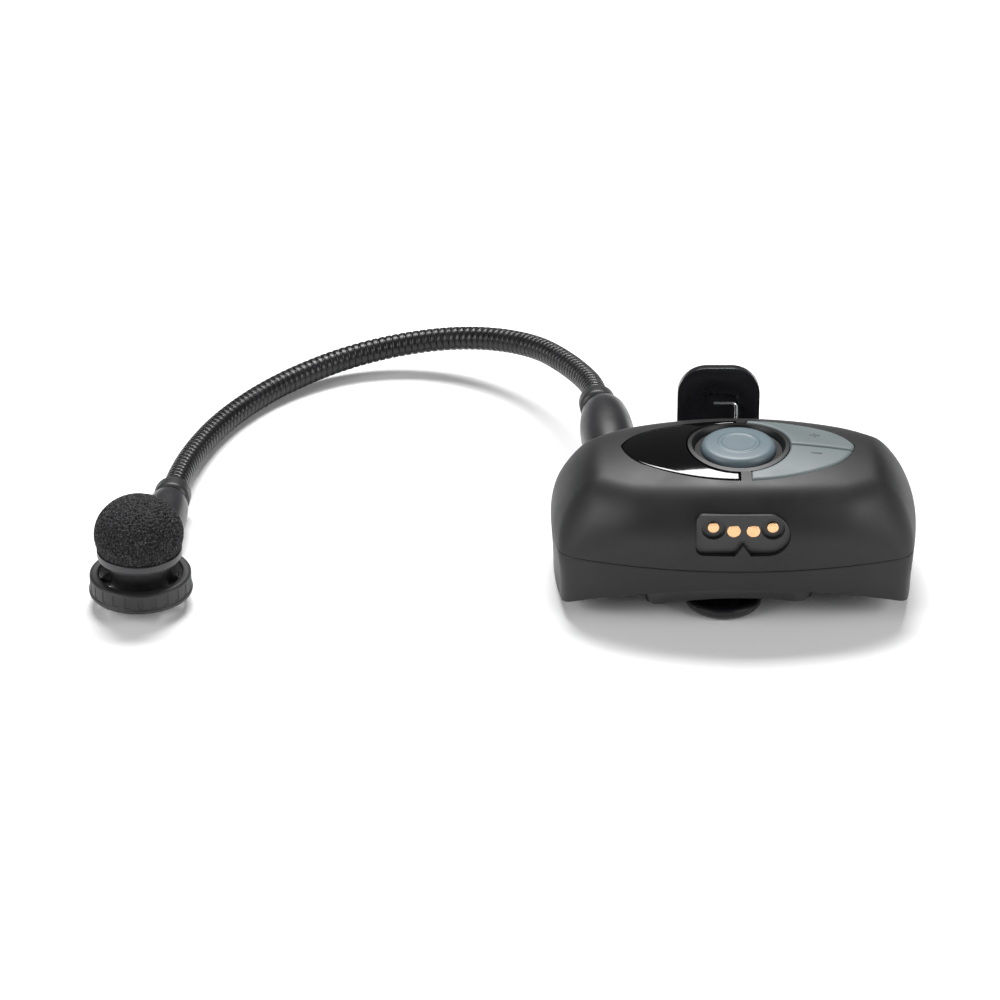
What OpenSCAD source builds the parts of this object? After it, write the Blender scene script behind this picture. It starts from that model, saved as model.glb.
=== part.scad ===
// Body-worn wireless microphone: a curved clip-on transmitter pack with a
// gooseneck boom and a small foam-covered microphone held in a ring.
// It lies on its clip. +X is to the pack's right, +Y to its back, +Z up;
// the origin is on the clip's flat underside, below the middle of the pack.

/* [Pack] */
// Greatest width of the pack
pack_w = 80.5; // [79.5:0.5:82]
// Distance from the origin forward to the pack's front face
pack_front = 22.5; // [22:0.5:24]
// Distance from the origin back to the pack's rear face
pack_rear = 23; // [22.5:0.5:24]
// Height of the top of the dome above the surface it lies on
pack_top = 35.2; // [35:0.1:36]
// Height of the line where the two shells meet
seam_z = 15.4; // [15:0.1:16]
// Height of the middle of the arched underside
arch_z = 10.9; // [10.8:0.1:11.2]
// Radius of the arched underside
arch_r = 105; // [102:1:110]
// Thickness of the shells' walls
wall = 2.4; // [2.2:0.1:2.5]

/* [Controls] */
// Radius of the round main button
button_r = 8.15; // [7.8:0.05:8.3]
// Outer radius of the bezel around the main button
bezel_r = 11.1; // [11:0.1:11.4]
// How far the main button travels
button_travel = 1; // [0.6:0.1:1]
// How far the volume keys travel
key_travel = 0.5; // [0.3:0.1:0.5]
// Half the length of the almond-shaped control panel
panel_half = 25.9; // [25:0.1:26.5]

/* [Charging port] */
// Width of the charging port's window
port_w = 20.4; // [20:0.1:21]
// Height of the charging port's window
port_h = 9.4; // [9:0.1:9.6]
// Height of the middle of the charging port
port_z = 24; // [23.8:0.1:24.2]

/* [Clip] */
// Sideways position of the middle of the clip
clip_x = -3; // [-3.5:0.1:-2]
// Width of the clip's jaw
jaw_w = 17.2; // [16:0.1:18]
// Width of the thumb tab
tab_w = 18.4; // [17.5:0.1:18.6]
// Height of the top of the thumb tab
tab_top = 37.6; // [36:0.1:38]
// Thickness of the clip's lever
lever_t = 1.9; // [1.8:0.1:2]
// Width of the saddle bracket
bracket_w = 37.2; // [36:0.1:38]

/* [Gooseneck] */
// Radius of the gooseneck
neck_r = 2.8; // [2.7:0.05:2.9]
// Length of one full link of the gooseneck
link_len = 21.4; // [21.3:0.1:21.5]

/* [Microphone] */
// Outer radius of the ring that carries the microphone
ring_r = 11.4; // [11.2:0.1:11.6]
// Inner radius of that ring
ring_bore = 9.1; // [9:0.05:9.2]
// Height of that ring
ring_h = 4.6; // [4.4:0.1:4.8]
// Radius of the windscreen cup
cup_r = 9.35; // [9.3:0.05:9.5]
// Radius of the microphone's body
mic_r = 6.7; // [6.5:0.1:6.8]

/* [Hidden] */

$fn = 96;
// Facets for curves of large radius
bigFn = 240;
// Free play between pieces that are assembled
gap = 0.1;
// Overshoot that keeps cutting faces apart
eps = 0.5;

// How far the middle of the pack's width lies from the button's axis
pack_shift = -0.7;
// Radii of the four faces of the pack's plan, and where its sides are widest
front_r = 108;
rear_r = 150;
side_r = 100;
side_y = 4;
// Radii of the domed top, across and front to back
dome_rx = 150;
dome_ry = 54;
// Rounding of the shoulders: sides, front, rear
shoulder_r = 14;
brow_r = 7;
nape_r = 9;

// Screws that join the shells, and the bosses that they run in
screw_x = 32.5;
screw_r = 1;
screw_len = 12.5;
screw_sink = 1.6;
boss_r = 2.6;

// Depth of the control panel's pocket below the dome
pocket = 1.6;
// Heights of the board and of the switches on it
board_top = 22.8;
board_t = 1.6;
board_half = 29;
switch_h = 1.5;
// Height of the button's rim, and of the floor of the bezel around it
button_z = 35;
bezel_floor = 33.2;
bezel_t = 1.4;
flange_t = 0.8;
// Middles of the two volume keys
key_x = 17;
key_up_y = 5.2;
key_down_y = -4.6;
key_split = -0.2;
// The strip of shell that parts the lens from the keys
strip = [-0.1, 2.2];

// Contacts in the charging port
port_x = 0.3;
port_y = -pack_front + 1.4;
pad_r = 1.52;
pad_x = [-1.7, 2.5];
pad_z = port_z + 0.7;
pin_r = 1.3;
pin_x = [-6.1, 6.7];
pin_z = port_z + 1.3;
well_r = 2.6;

// Clip: pivot, saddle and lever
pivot = [clip_x, 17.5, 4.2];
pivot_r = 1;
knuckle_r = 2.4;
saddle_t = 4;
saddle_front = -19;
saddle_rear = 13;
saddle_x = clip_x + 0.6;
ear_t = 2.4;
jaw_mid = -9.4;
jaw_rim = 3;
rim_t = 1.7;
sole_r = 2.3;
bend_r = 5;
lever_rear = 27;
wire_r = 0.4;
hook_z = 29.2;

// Boot on the pack's back: where it starts, its heading, and its length
boot_base = [-27, 19.5, 19.9];
boot_turn = 93.4;
boot_len = 25;
boot_r = 6.1;
stub_r = 3.5;
nut_in = 3.2;

// Gooseneck: the point where it leaves the collar, the slope of the plane it
// curves in, its first heading in that plane, and how far each link turns
neck_start = [-30.08, 51.75, 19.54];
neck_az = -30.4;
neck_tilt = 11.2;
neck_heading = 124.4;
link_turn = [14, 10, 29, 35, 30, 21, 17, 12, 5];
link_count = len(link_turn);
collar_r = 4.2;
collar_len = 5;
root_len = 3.3;
ball_r = 2;
ball_play = 0.08;
cup_gap = 0.4;
stem_gap = 1.5;
stem_r = 1.3;

// Microphone: middle of the ring's underside
ring_pos = [-130.8, -8.7, 3.4];
trunnion_z = ring_pos[2] + ring_h / 2;
trunnion_r = 0.7;
body_base = 4.2;
rim_z = 13.8;
cup_h = 2.6;
foam_lift = 3.4;
foam_a = 9.85;
foam_c = 8.6;

// Shared shapes

// A ring of round section about the Z axis
module torus(major, minor) {
    rotate_extrude($fn = bigFn) translate([major, 0]) circle(r = minor);
}

// The domed top surface, moved inward by t
module dome(t) {
    translate([0, 0, pack_top - dome_rx]) rotate([90, 0, 0])
        torus(dome_rx - dome_ry, dome_ry - t);
}

// What is trimmed off to round the front or rear edge of the dome
module edgeTrim(face_r, round_r, z, t) {
    difference() {
        translate([0, 0, z]) cylinder(r = face_r + 3, h = 20, $fn = bigFn);
        translate([0, 0, z - 1]) cylinder(r = face_r - round_r, h = 22, $fn = bigFn);
        translate([0, 0, z]) torus(face_r - round_r, round_r + 0.2 - t);
    }
}

// What is trimmed off to round the left (-1) or right (+1) side of the dome
module sideTrim(side, t) {
    x = pack_w / 2 + side * pack_shift - shoulder_r;
    z = pack_top - dome_rx + sqrt(pow(dome_rx - shoulder_r, 2) - x * x);
    mirror([side < 0 ? 1 : 0, 0, 0]) difference() {
        translate([x, -40, z]) cube([30, 80, 30]);
        translate([x, 50, z]) rotate([90, 0, 0]) cylinder(r = shoulder_r + 0.3 - t, h = 100, $fn = bigFn);
    }
}

// Height of the dome along the middle line at y
function domeZ(y) = pack_top - dome_ry + sqrt(dome_ry * dome_ry - y * y);

// The pack's outer form with its faces moved inward by t
module packForm(t) {
    h = pack_top + 5;
    difference() {
        intersection() {
            translate([0, front_r - pack_front, 0]) cylinder(r = front_r - t, h = h, $fn = bigFn);
            translate([0, pack_rear - rear_r, 0]) cylinder(r = rear_r - t, h = h, $fn = bigFn);
            translate([pack_shift + side_r - pack_w / 2, side_y, 0])
                cylinder(r = side_r - t, h = h, $fn = bigFn);
            translate([pack_shift + pack_w / 2 - side_r, side_y, 0])
                cylinder(r = side_r - t, h = h, $fn = bigFn);
            dome(t);
        }
        translate([0, front_r - pack_front, 0])
            edgeTrim(front_r, brow_r, domeZ(pack_front - brow_r) - brow_r, t);
        translate([0, pack_rear - rear_r, 0])
            edgeTrim(rear_r, nape_r, domeZ(pack_rear - nape_r) - nape_r, t);
        sideTrim(1, t);
        sideTrim(-1, t);
    }
}

// The cylinder below the pack whose top is the arched underside, grown by t
module arch(t) {
    translate([0, 40, arch_z - arch_r]) rotate([90, 0, 0]) cylinder(r = arch_r + t, h = 80, $fn = bigFn);
}

// The almond-shaped outline of the control panel, shrunk by t
module panelOutline(t) {
    intersection() {
        translate([0, 19.7]) circle(r = 33.7 - t, $fn = bigFn);
        translate([0, -40]) circle(r = 52.5 - t, $fn = bigFn);
        circle(r = panel_half - t, $fn = bigFn);
    }
}

// The part of the panel left (-1) or right (+1) of the strip, outside a circle of radius inner_r
module panelSide(side, t, inner_r) {
    difference() {
        intersection() {
            panelOutline(t);
            translate([side < 0 ? strip[0] - t - 40 : strip[1] + t, -30]) square([40, 60]);
        }
        circle(r = inner_r);
    }
}

// A plate that follows the dome between two depths, cut to the outline given as child
module domePlate(top_t, bottom_t) {
    difference() {
        intersection() {
            translate([0, 0, board_top]) linear_extrude(20) children();
            dome(top_t);
        }
        dome(bottom_t);
    }
}

// Outline of the charging port's window: square at the left, round at the right
module portOutline(t) {
    r = port_h / 2;
    corner = 1.6;
    difference() {
        union() {
            translate([port_w / 2 - r, 0]) circle(r = r - t);
            translate([corner - port_w / 2, t - r]) square([port_w - r - corner, port_h - 2 * t]);
            translate([t - port_w / 2, corner - r]) square([corner + 1, port_h - 2 * corner]);
            for (s = [-1, 1]) translate([corner - port_w / 2, s * (r - corner)]) circle(r = corner - t);
        }
        polygon([[-2.4 - t, -r - 1], [0, 2.5 - r + t], [2.4 + t, -r - 1]]);
    }
}

// Turns an outline drawn in X and Z into a prism that runs from y0 to y1
module alongY(y0, y1) {
    translate([0, y1, 0]) rotate([90, 0, 0]) linear_extrude(y1 - y0) children();
}

// A cylinder along X from x0 to x1 about the point y, z
module barX(x0, x1, y, z, r) {
    translate([x0, y, z]) rotate([0, 90, 0]) cylinder(r = r, h = x1 - x0);
}

// Places a child whose +X runs along the boot's axis
module bootFrame() {
    translate(boot_base) rotate([0, 0, boot_turn]) children();
}

// A pan-head screw with its head down, its tip up
module screw(r, length) {
    union() {
        cylinder(r = r, h = length);
        cylinder(r = 1.9 * r, h = 0.9 * r);
    }
}

// Gooseneck route

function linkLen(i) = (i == 0 || i == link_count - 1) ? link_len / 2 : link_len;
function linkHead(i) = i == 0 ? neck_heading : linkHead(i - 1) + link_turn[i - 1];
function linkRadius(i) = linkLen(i) * 180 / (PI * link_turn[i]);
function linkChord(i) = 2 * linkRadius(i) * sin(link_turn[i] / 2);
function linkStart(i) = i == 0 ? [0, 0] : linkStart(i - 1) + linkChord(i - 1)
    * [cos(linkHead(i - 1) + link_turn[i - 1] / 2), sin(linkHead(i - 1) + link_turn[i - 1] / 2)];

// Places a child at a link's start, +X along the neck and +Y towards its inner side
module linkFrame(i) {
    p = linkStart(i);
    translate(neck_start) rotate([0, -neck_tilt, neck_az])
        translate([p[0], p[1], 0]) rotate([0, 0, linkHead(i)]) children();
}

// The bent tube of link i between two lengths along it
module linkTube(i, from, to) {
    big = linkRadius(i);
    degPerMm = link_turn[i] / linkLen(i);
    translate([0, big, 0]) rotate([0, 0, from * degPerMm - 90])
        rotate_extrude(angle = (to - from) * degPerMm) translate([big, 0]) circle(r = neck_r, $fn = 48);
}

// One link: a ball at its start and a cup at its end. The first and last
// links have a straight stub for the collar in place of the ball or the cup.
module neckLink(i) {
    first = i == 0;
    last = i == link_count - 1;
    from = first ? 0 : stem_gap;
    to = last ? linkLen(i) : linkLen(i) - cup_gap;
    color("#1c1c1e") difference() {
        union() {
            linkFrame(i) linkTube(i, from, to);
            if (first) {
                linkFrame(i) rotate([0, -90, 0])
                    cylinder(r = neck_r, h = root_len + collar_len - 1, $fn = 48);
            } else {
                linkFrame(i) rotate([0, 90, 0]) sphere(r = ball_r, $fn = 48);
                linkFrame(i) rotate([0, 90, 0]) cylinder(r = stem_r, h = stem_gap + 1, $fn = 48);
            }
            if (last) {
                linkFrame(link_count) translate([-eps, 0, 0]) rotate([0, 90, 0])
                    cylinder(r = neck_r + 0.015, h = collar_len - 1 + eps);
            }
        }
        if (!last) linkFrame(i + 1) rotate([0, 90, 0]) sphere(r = ball_r + ball_play, $fn = 48);
    }
}

// A collar that holds an end of the gooseneck: it runs along +X from x = 0
module collar() {
    rotate([0, 90, 0]) difference() {
        rotate_extrude() polygon([
            [0, 0], [collar_r - 0.5, 0], [collar_r, 0.5],
            [collar_r, collar_len - 0.8], [collar_r - 0.8, collar_len], [0, collar_len]
        ]);
        translate([0, 0, -eps]) cylinder(r = neck_r + 0.03, h = collar_len - 1 + eps);
    }
}

// An egg-shaped boot about its own axis, which runs along +X: radius r0 at
// the foot, r1 where it is fattest, and r2 at the neck end
module egg(len, r0, r1, r2, fat) {
    steps = 10;
    foot = [for (k = [0:steps]) [r0 + (r1 - r0) * sin(90 * k / steps), fat * k / steps]];
    tip = [for (k = [1:steps])
        [r2 + (r1 - r2) * cos(90 * k / steps), fat + (len - fat) * sin(90 * k / steps)]];
    rotate([0, 90, 0]) rotate_extrude() polygon(concat([[0, 0]], foot, tip, [[0, len]]));
}

// Pack

module topShell() {
    color("#29292b") difference() {
        intersection() {
            packForm(0);
            translate([-60, -60, seam_z]) cube([120, 120, 40]);
        }
        difference() {
            packForm(wall);
            translate([-60, -60, 0]) cube([120, 120, seam_z - 1]);
            screwPlaces() cylinder(r = boss_r, h = 30);
        }
        // pockets for the lens and the keys
        difference() {
            translate([0, 0, board_top]) linear_extrude(20) {
                panelSide(-1, -gap, bezel_r - 2);
                panelSide(1, -gap, bezel_r - 2);
            }
            dome(pocket);
        }
        translate([0, 0, board_top]) cylinder(r = bezel_r + gap, h = 20);
        for (y = [key_up_y, key_down_y]) translate([key_x, y, board_top]) cylinder(r = 1.7, h = 12);
        // window for the charging port
        alongY(-pack_front - 2, port_y + 3.5) translate([port_x, port_z]) portOutline(0);
        // hole for the boot's stub
        bootFrame() translate([-6, 0, 0]) rotate([0, 90, 0]) cylinder(r = stub_r + 0.05, h = 12);
        screwPlaces() translate([0, 0, 2]) cylinder(r = screw_r + 0.05, h = screw_len - 1);
    }
}

module bottomShell() {
    color("#29292b") difference() {
        intersection() {
            packForm(0);
            translate([-60, -60, 0]) cube([120, 120, seam_z]);
        }
        arch(0);
        difference() {
            packForm(wall);
            arch(wall);
            screwPlaces() cylinder(r = boss_r, h = 30);
        }
        screwPlaces() translate([0, 0, -eps]) cylinder(r = screw_r + 0.05, h = 20);
        screwPlaces() translate([0, 0, -4]) cylinder(r = 2.2, h = 4 + screw_sink);
        saddlePlaces() translate([0, 0, -1]) cylinder(r = 0.95, h = 5);
    }
}

// Places of the screws that join the shells: in the arch, near its corners
module screwPlaces() {
    z = arch_z - arch_r + sqrt(arch_r * arch_r - screw_x * screw_x);
    for (x = [-screw_x, screw_x], y = [-8, 13]) translate([x, y, z]) children();
}

module shellScrews() {
    color("#4a4a4c") screwPlaces() translate([0, 0, screw_sink - 0.9 * screw_r]) screw(screw_r, screw_len);
}

module bezelRing() {
    low = bezel_floor - bezel_t;
    color("#141416") difference() {
        union() {
            translate([0, 0, low]) cylinder(r = bezel_r, h = bezel_t);
            intersection() {
                translate([0, 0, low]) cylinder(r = bezel_r, h = 6);
                dome(0.1);
            }
        }
        translate([0, 0, low - eps]) cylinder(r = button_r + gap, h = 8);
        translate([0, 0, bezel_floor]) cylinder(r1 = bezel_r - 1.6, r2 = bezel_r - 0.5, h = 2.2);
    }
}

module mainButton() {
    low = bezel_floor - bezel_t - 0.3 - flange_t;
    color("#8e989b") union() {
        translate([0, 0, low]) rotate_extrude() polygon([
            [0, 0], [button_r + 0.7, 0], [button_r + 0.7, flange_t], [button_r, flange_t],
            [button_r, button_z - low - 0.5], [button_r - 0.5, button_z - low],
            [button_r * 0.6, button_z - low + 0.25], [0, button_z - low + 0.35]
        ]);
        translate([0, 0, board_top + switch_h + button_travel + 0.1])
            cylinder(r = 2.2, h = low - board_top - switch_h - button_travel);
    }
}

module displayLens() {
    color("#0a0a0b") domePlate(0.05, pocket - 0.1) panelSide(-1, 0, bezel_r + 0.2);
}

// One volume key with the stem that reaches down to its switch
module volumeKey(y, low, high) {
    foot = board_top + switch_h + key_travel + 0.1;
    color("#8e989b") union() {
        domePlate(-0.2, 0.9) intersection() {
            panelSide(1, 0, bezel_r + 0.2);
            translate([-10, low]) square([60, high - low]);
        }
        translate([key_x, y, foot]) cylinder(r = 1.5, h = domeZ(y) - 2 - foot);
    }
}

module volumeUpKey() {
    volumeKey(key_up_y, key_split + 0.15, 30);
}

module volumeDownKey() {
    volumeKey(key_down_y, -30, key_split - 0.15);
}

module chargePort() {
    color("#1e1e20") difference() {
        union() {
            alongY(port_y, port_y + 3.3) translate([port_x, port_z]) portOutline(gap);
            alongY(port_y + 3.1, port_y + 4.3)
                translate([port_x, port_z]) square([port_w + 3, port_h + 0.5], center = true);
        }
        alongY(port_y - eps, port_y + 5) for (x = pad_x) translate([x, pad_z]) circle(r = pad_r);
        alongY(port_y - eps, port_y + 5) for (x = pin_x) translate([x, pin_z]) circle(r = pin_r);
        alongY(port_y - eps, port_y + 0.9) for (x = pin_x) translate([x, pin_z]) circle(r = well_r);
    }
}

module contactPads() {
    color("#c9a25a") alongY(port_y - 0.15, port_y + 5)
        for (x = pad_x) translate([x, pad_z]) circle(r = pad_r);
}

module contactPins() {
    color("#c9a25a") alongY(port_y + 0.4, port_y + 6)
        for (x = pin_x) translate([x, pin_z]) circle(r = pin_r);
}

module mainBoard() {
    color("#1f5b3a") difference() {
        intersection() {
            translate([-board_half, -16, board_top - board_t]) cube([2 * board_half, 33, board_t]);
            translate([0, front_r - pack_front, 0]) cylinder(r = front_r - wall - 0.8, h = 40, $fn = bigFn);
        }
        bootFrame() translate([-12, 0, 0]) rotate([0, 90, 0]) cylinder(r = 6.2, h = 12);
    }
}

module keySwitches() {
    side = 4.5;
    color("#3c3c40") for (p = [[0, 0], [key_x, key_up_y], [key_x, key_down_y]])
        translate([p[0] - side / 2, p[1] - side / 2, board_top]) cube([side, side, switch_h]);
}

module displayLeds() {
    color("#d9d9d2") for (x = [-21.5:3.5:-14.5]) translate([x, -4, board_top]) cube([1.6, 0.8, 0.8]);
}

module battery() {
    color("#5a5d66") translate([-20, -16, arch_z + wall + 0.4]) cube([46, 32, 6]);
}

module antenna() {
    color("#b88a4a") translate([board_half, -4.5, seam_z + 1]) cube([0.8, 15, 7]);
}

// Clip

// Places of the screws that hold the bracket to the bottom shell
module saddlePlaces() {
    for (s = [-1, 1]) translate([saddle_x + s * 13.5, -6, arch_z - 1.2]) children();
}

// One ear of the bracket, from x0 to x0 + ear_t
module bracketEar(x0) {
    difference() {
        union() {
            barX(x0, x0 + ear_t, pivot[1], pivot[2], 2.7);
            translate([x0, saddle_rear - 3, pivot[2]]) cube([ear_t, pivot[1] - saddle_rear + 3, 3.6]);
        }
        barX(x0 - 1, x0 + ear_t + 1, pivot[1], pivot[2], pivot_r);
    }
}

module clipBracket() {
    color("#202022") difference() {
        union() {
            difference() {
                intersection() {
                    translate([saddle_x - bracket_w / 2, saddle_front, 0])
                        cube([bracket_w, saddle_rear - saddle_front, 20]);
                    arch(-0.05);
                }
                arch(-saddle_t);
            }
            bracketEar(clip_x - jaw_w / 2 - 0.3 - ear_t);
            bracketEar(clip_x + jaw_w / 2 + 0.3);
        }
        saddlePlaces() translate([0, 0, -4]) cylinder(r = 1, h = 8);
        saddlePlaces() translate([0, 0, -5]) cylinder(r = 2.1, h = 2.8);
    }
}

module bracketScrews() {
    color("#4a4a4c") saddlePlaces() translate([0, 0, -3.01]) screw(0.9, 6);
}

// Side view of the lever, drawn in Y and Z: sole, bend and upright
module leverSide() {
    inner = bend_r - lever_t;
    translate([jaw_mid - eps, 0]) square([lever_rear - jaw_mid + eps, lever_t]);
    intersection() {
        translate([lever_rear, bend_r]) difference() {
            circle(r = bend_r);
            circle(r = inner);
        }
        translate([lever_rear - eps, 0]) square([bend_r + eps, bend_r]);
    }
    translate([lever_rear + inner, bend_r]) square([lever_t, tab_top]);
}

// The jaw's tip: a half-round spoon with a raised rim
module jawTip() {
    r = jaw_w / 2 + 0.03;
    corner = [for (a = [0:15:90]) [r - sole_r + sole_r * sin(a), sole_r - sole_r * cos(a)]];
    translate([clip_x, jaw_mid, 0]) rotate([0, 0, 180]) rotate_extrude(angle = 180) polygon(concat(
        [[0, 0]], corner,
        [[r, jaw_rim - 0.4], [r - 0.4, jaw_rim], [r - rim_t + 0.4, jaw_rim], [r - rim_t, jaw_rim - 0.4],
        [r - rim_t, lever_t + 0.02], [0, lever_t + 0.02]]
    ));
}

// Front view of the lever: rounded sole, and the wider thumb tab with round corners
module leverFront() {
    top_r = 6.5;
    translate([-jaw_w / 2, sole_r]) square([jaw_w, 16]);
    translate([sole_r - jaw_w / 2, 0]) square([jaw_w - 2 * sole_r, sole_r + 1]);
    for (s = [-1, 1]) translate([s * (jaw_w / 2 - sole_r), sole_r]) circle(r = sole_r);
    translate([-tab_w / 2, 16]) square([tab_w, tab_top - top_r - 16]);
    translate([top_r - tab_w / 2, 16]) square([tab_w - 2 * top_r, tab_top - 16]);
    for (s = [-1, 1]) translate([s * (tab_w / 2 - top_r), tab_top - top_r]) circle(r = top_r);
}

module clipLever() {
    inner_y = lever_rear + bend_r - lever_t;
    coil = [clip_x - 2.6, clip_x + 4.6];
    color("#151517") difference() {
        union() {
            intersection() {
                translate([clip_x - 15, 0, 0]) rotate([90, 0, 90]) linear_extrude(30) leverSide();
                alongY(-30, 40) translate([clip_x, 0]) leverFront();
            }
            jawTip();
            barX(clip_x - jaw_w / 2, coil[0], pivot[1], pivot[2], knuckle_r);
            barX(coil[1], clip_x + jaw_w / 2, pivot[1], pivot[2], knuckle_r);
        }
        barX(clip_x - 20, clip_x + 20, pivot[1], pivot[2], pivot_r + 0.05);
        // thumb hollow and the pocket that takes the spring's hook
        translate([clip_x - 3.2, inner_y - 1, hook_z - 1.4]) cube([7.2, 2.2, 3]);
        intersection() {
            translate([clip_x, inner_y - 29, tab_top - 11]) sphere(r = 30, $fn = 160);
            translate([clip_x - 15, inner_y - 1, tab_top - 25]) cube([30, 3, 30]);
        }
    }
}

module clipPin() {
    color("#a8abaf") barX(clip_x - jaw_w / 2 - 2.5, clip_x + jaw_w / 2 + 2.5, pivot[1], pivot[2], pivot_r);
}

// Torsion spring: a coil around the pin, a leg under the bracket, and a leg
// that runs up the inside of the thumb tab and hooks into its pocket
module clipSpring() {
    coil = [clip_x - 2.4, clip_x + 4.4];
    leg_y = lever_rear + bend_r - lever_t - wire_r - 0.15;
    leg_x = coil[1] - wire_r - gap;
    bend_ball = 1.1 * wire_r;
    low_z = lever_t + wire_r + 0.15;
    // the leg rises at a slant inside the lever's bend
    rise_y = lever_rear + 0.2;
    rise_z = bend_r + 0.2;
    color("#c4c6c8") union() {
        difference() {
            barX(coil[0], coil[1], pivot[1], pivot[2], 1.95);
            barX(coil[0] - 1, coil[1] + 1, pivot[1], pivot[2], 1.15);
        }
        translate([coil[0] + wire_r + gap, pivot[1], pivot[2] + 1.5]) rotate([90, 0, 0])
            cylinder(r = wire_r, h = 9);
        translate([leg_x, pivot[1], low_z]) rotate([-90, 0, 0]) cylinder(r = wire_r, h = rise_y - pivot[1]);
        translate([leg_x, rise_y, low_z]) sphere(r = bend_ball);
        translate([leg_x, rise_y, low_z]) rotate([-atan2(leg_y - rise_y, rise_z - low_z), 0, 0])
            cylinder(r = wire_r, h = norm([leg_y - rise_y, rise_z - low_z]));
        translate([leg_x, leg_y, rise_z]) sphere(r = bend_ball);
        translate([leg_x, leg_y, rise_z]) cylinder(r = wire_r, h = hook_z - rise_z);
        translate([leg_x, leg_y, hook_z]) sphere(r = bend_ball);
        barX(leg_x - 5, leg_x, leg_y, hook_z, wire_r);
    }
}

// Boot and collar on the pack

module bodyBoot() {
    color("#3b3b3d") difference() {
        union() {
            bootFrame() egg(boot_len, 5, boot_r, 3.6, 12);
        }
        translate([0, pack_rear - rear_r, 0]) cylinder(r = rear_r + 0.03, h = 40, $fn = bigFn);
        bootFrame() translate([-1, 0, 0]) rotate([0, 90, 0]) cylinder(r = stub_r - 1, h = 12);
        bootFrame() translate([-1, 0, 0]) rotate([0, 90, 0]) cylinder(r = stub_r + 0.05, h = 4.5);
        linkFrame(0) translate([-root_len, 0, 0]) rotate([0, -90, 0])
            cylinder(r = collar_r + 0.05, h = collar_len + 0.05);
    }
}

module bootNut() {
    color("#8a8c90") bootFrame() rotate([0, 90, 0]) difference() {
        union() {
            translate([0, 0, -nut_in]) cylinder(r = 5, h = 0.9);
            translate([0, 0, -nut_in]) cylinder(r = stub_r, h = nut_in + 3.4);
            translate([0, 0, -nut_in]) cylinder(r = stub_r - 1.05, h = nut_in + 8.4);
        }
        translate([0, 0, -nut_in - eps]) cylinder(r = 1.5, h = 20);
    }
}

module bodyCollar() {
    color("#2c2c2e") linkFrame(0) translate([-root_len, 0, 0]) rotate([0, 0, 180]) collar();
}

// Microphone end

// Places a child whose +X runs from the ring's middle towards the gooseneck
module armFrame() {
    end = linkEnd();
    run = end - [ring_pos[0], ring_pos[1], trunnion_z];
    translate([ring_pos[0], ring_pos[1], trunnion_z])
        rotate([0, -atan2(run[2], norm([run[0], run[1]])), atan2(run[1], run[0])]) children();
}

// The gooseneck's far end, in the part's own frame
function linkEnd() = neck_start + fromPlane(linkStart(link_count));
function fromPlane(p) = [
    p[0] * cos(neck_tilt) * cos(neck_az) - p[1] * sin(neck_az),
    p[0] * cos(neck_tilt) * sin(neck_az) + p[1] * cos(neck_az),
    p[0] * sin(neck_tilt)
];
function armLen() = norm(linkEnd() - [ring_pos[0], ring_pos[1], trunnion_z]);

module micCollar() {
    color("#2c2c2e") linkFrame(link_count) collar();
}

module micBoot() {
    len = armLen() - ring_r - 4.4;
    color("#3b3b3d") difference() {
        armFrame() translate([ring_r - 0.9, 0, 0]) egg(len, 2, 5.2, 3.9, len * 0.5);
        translate([ring_pos[0], ring_pos[1], 0]) cylinder(r = ring_r + 0.02, h = 30);
        linkFrame(link_count) rotate([0, 90, 0]) cylinder(r = collar_r + 0.05, h = collar_len);
    }
}

module micRing() {
    color("#222224") translate(ring_pos) difference() {
        union() {
            rotate_extrude() polygon([
                [ring_bore, 0], [ring_r, 0], [ring_r, 0.7], [ring_r - 0.25, 0.9],
                [ring_r - 0.25, ring_h - 0.5], [ring_r - 0.75, ring_h], [ring_bore + 0.3, ring_h],
                [ring_bore, ring_h - 0.4]
            ]);
        }
        translate([-20, 0, ring_h / 2]) rotate([0, 90, 0]) cylinder(r = trunnion_r, h = 40);
    }
}

// Two short pins, fixed in the ring, that the microphone's body turns on
module trunnionPins() {
    color("#8a8c90") for (s = [-1, 1])
        translate([ring_pos[0] + s * (mic_r - 1.2), ring_pos[1], trunnion_z]) rotate([0, s * 90, 0])
            cylinder(r = trunnion_r, h = ring_r - mic_r + 0.8);
}

module micBody() {
    top = rim_z - cup_h - 0.1;
    color("#0d0d0e") translate([ring_pos[0], ring_pos[1], 0]) difference() {
        union() {
            translate([0, 0, body_base]) cylinder(r = mic_r, h = top - body_base);
            // lugs around the trunnion pins
            for (s = [-1, 1]) translate([s * (mic_r - 0.6), 0, trunnion_z]) rotate([0, s * 90, 0])
                cylinder(r = 1.5, h = ring_bore - mic_r - 0.2);
        }
        for (s = [-1, 1]) translate([s * (mic_r - 1.4), 0, trunnion_z]) rotate([0, s * 90, 0])
            cylinder(r = trunnion_r + 0.05, h = 6);
        translate([0, 0, body_base + 1.2]) cylinder(r = 5.3, h = 20);
    }
}

module windscreenCup() {
    low = rim_z - cup_h;
    color("#3a3a3c") translate([ring_pos[0], ring_pos[1], low]) rotate_extrude() polygon([
        [5.3, 0], [cup_r - 0.9, 0], [cup_r, 0.9], [cup_r, cup_h],
        [cup_r - 1, cup_h], [cup_r - 1, 1.2], [5.3, 1.2]
    ]);
}

module micCapsule() {
    color("#9a9c9f") translate([ring_pos[0], ring_pos[1], rim_z - cup_h - 2.4]) cylinder(r = 4.85, h = 5);
}

module capsuleGasket() {
    color("#19191a") translate([ring_pos[0], ring_pos[1], rim_z - cup_h - 2.4]) difference() {
        cylinder(r = 5.25, h = 4.4);
        translate([0, 0, -eps]) cylinder(r = 4.9, h = 6);
    }
}

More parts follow.
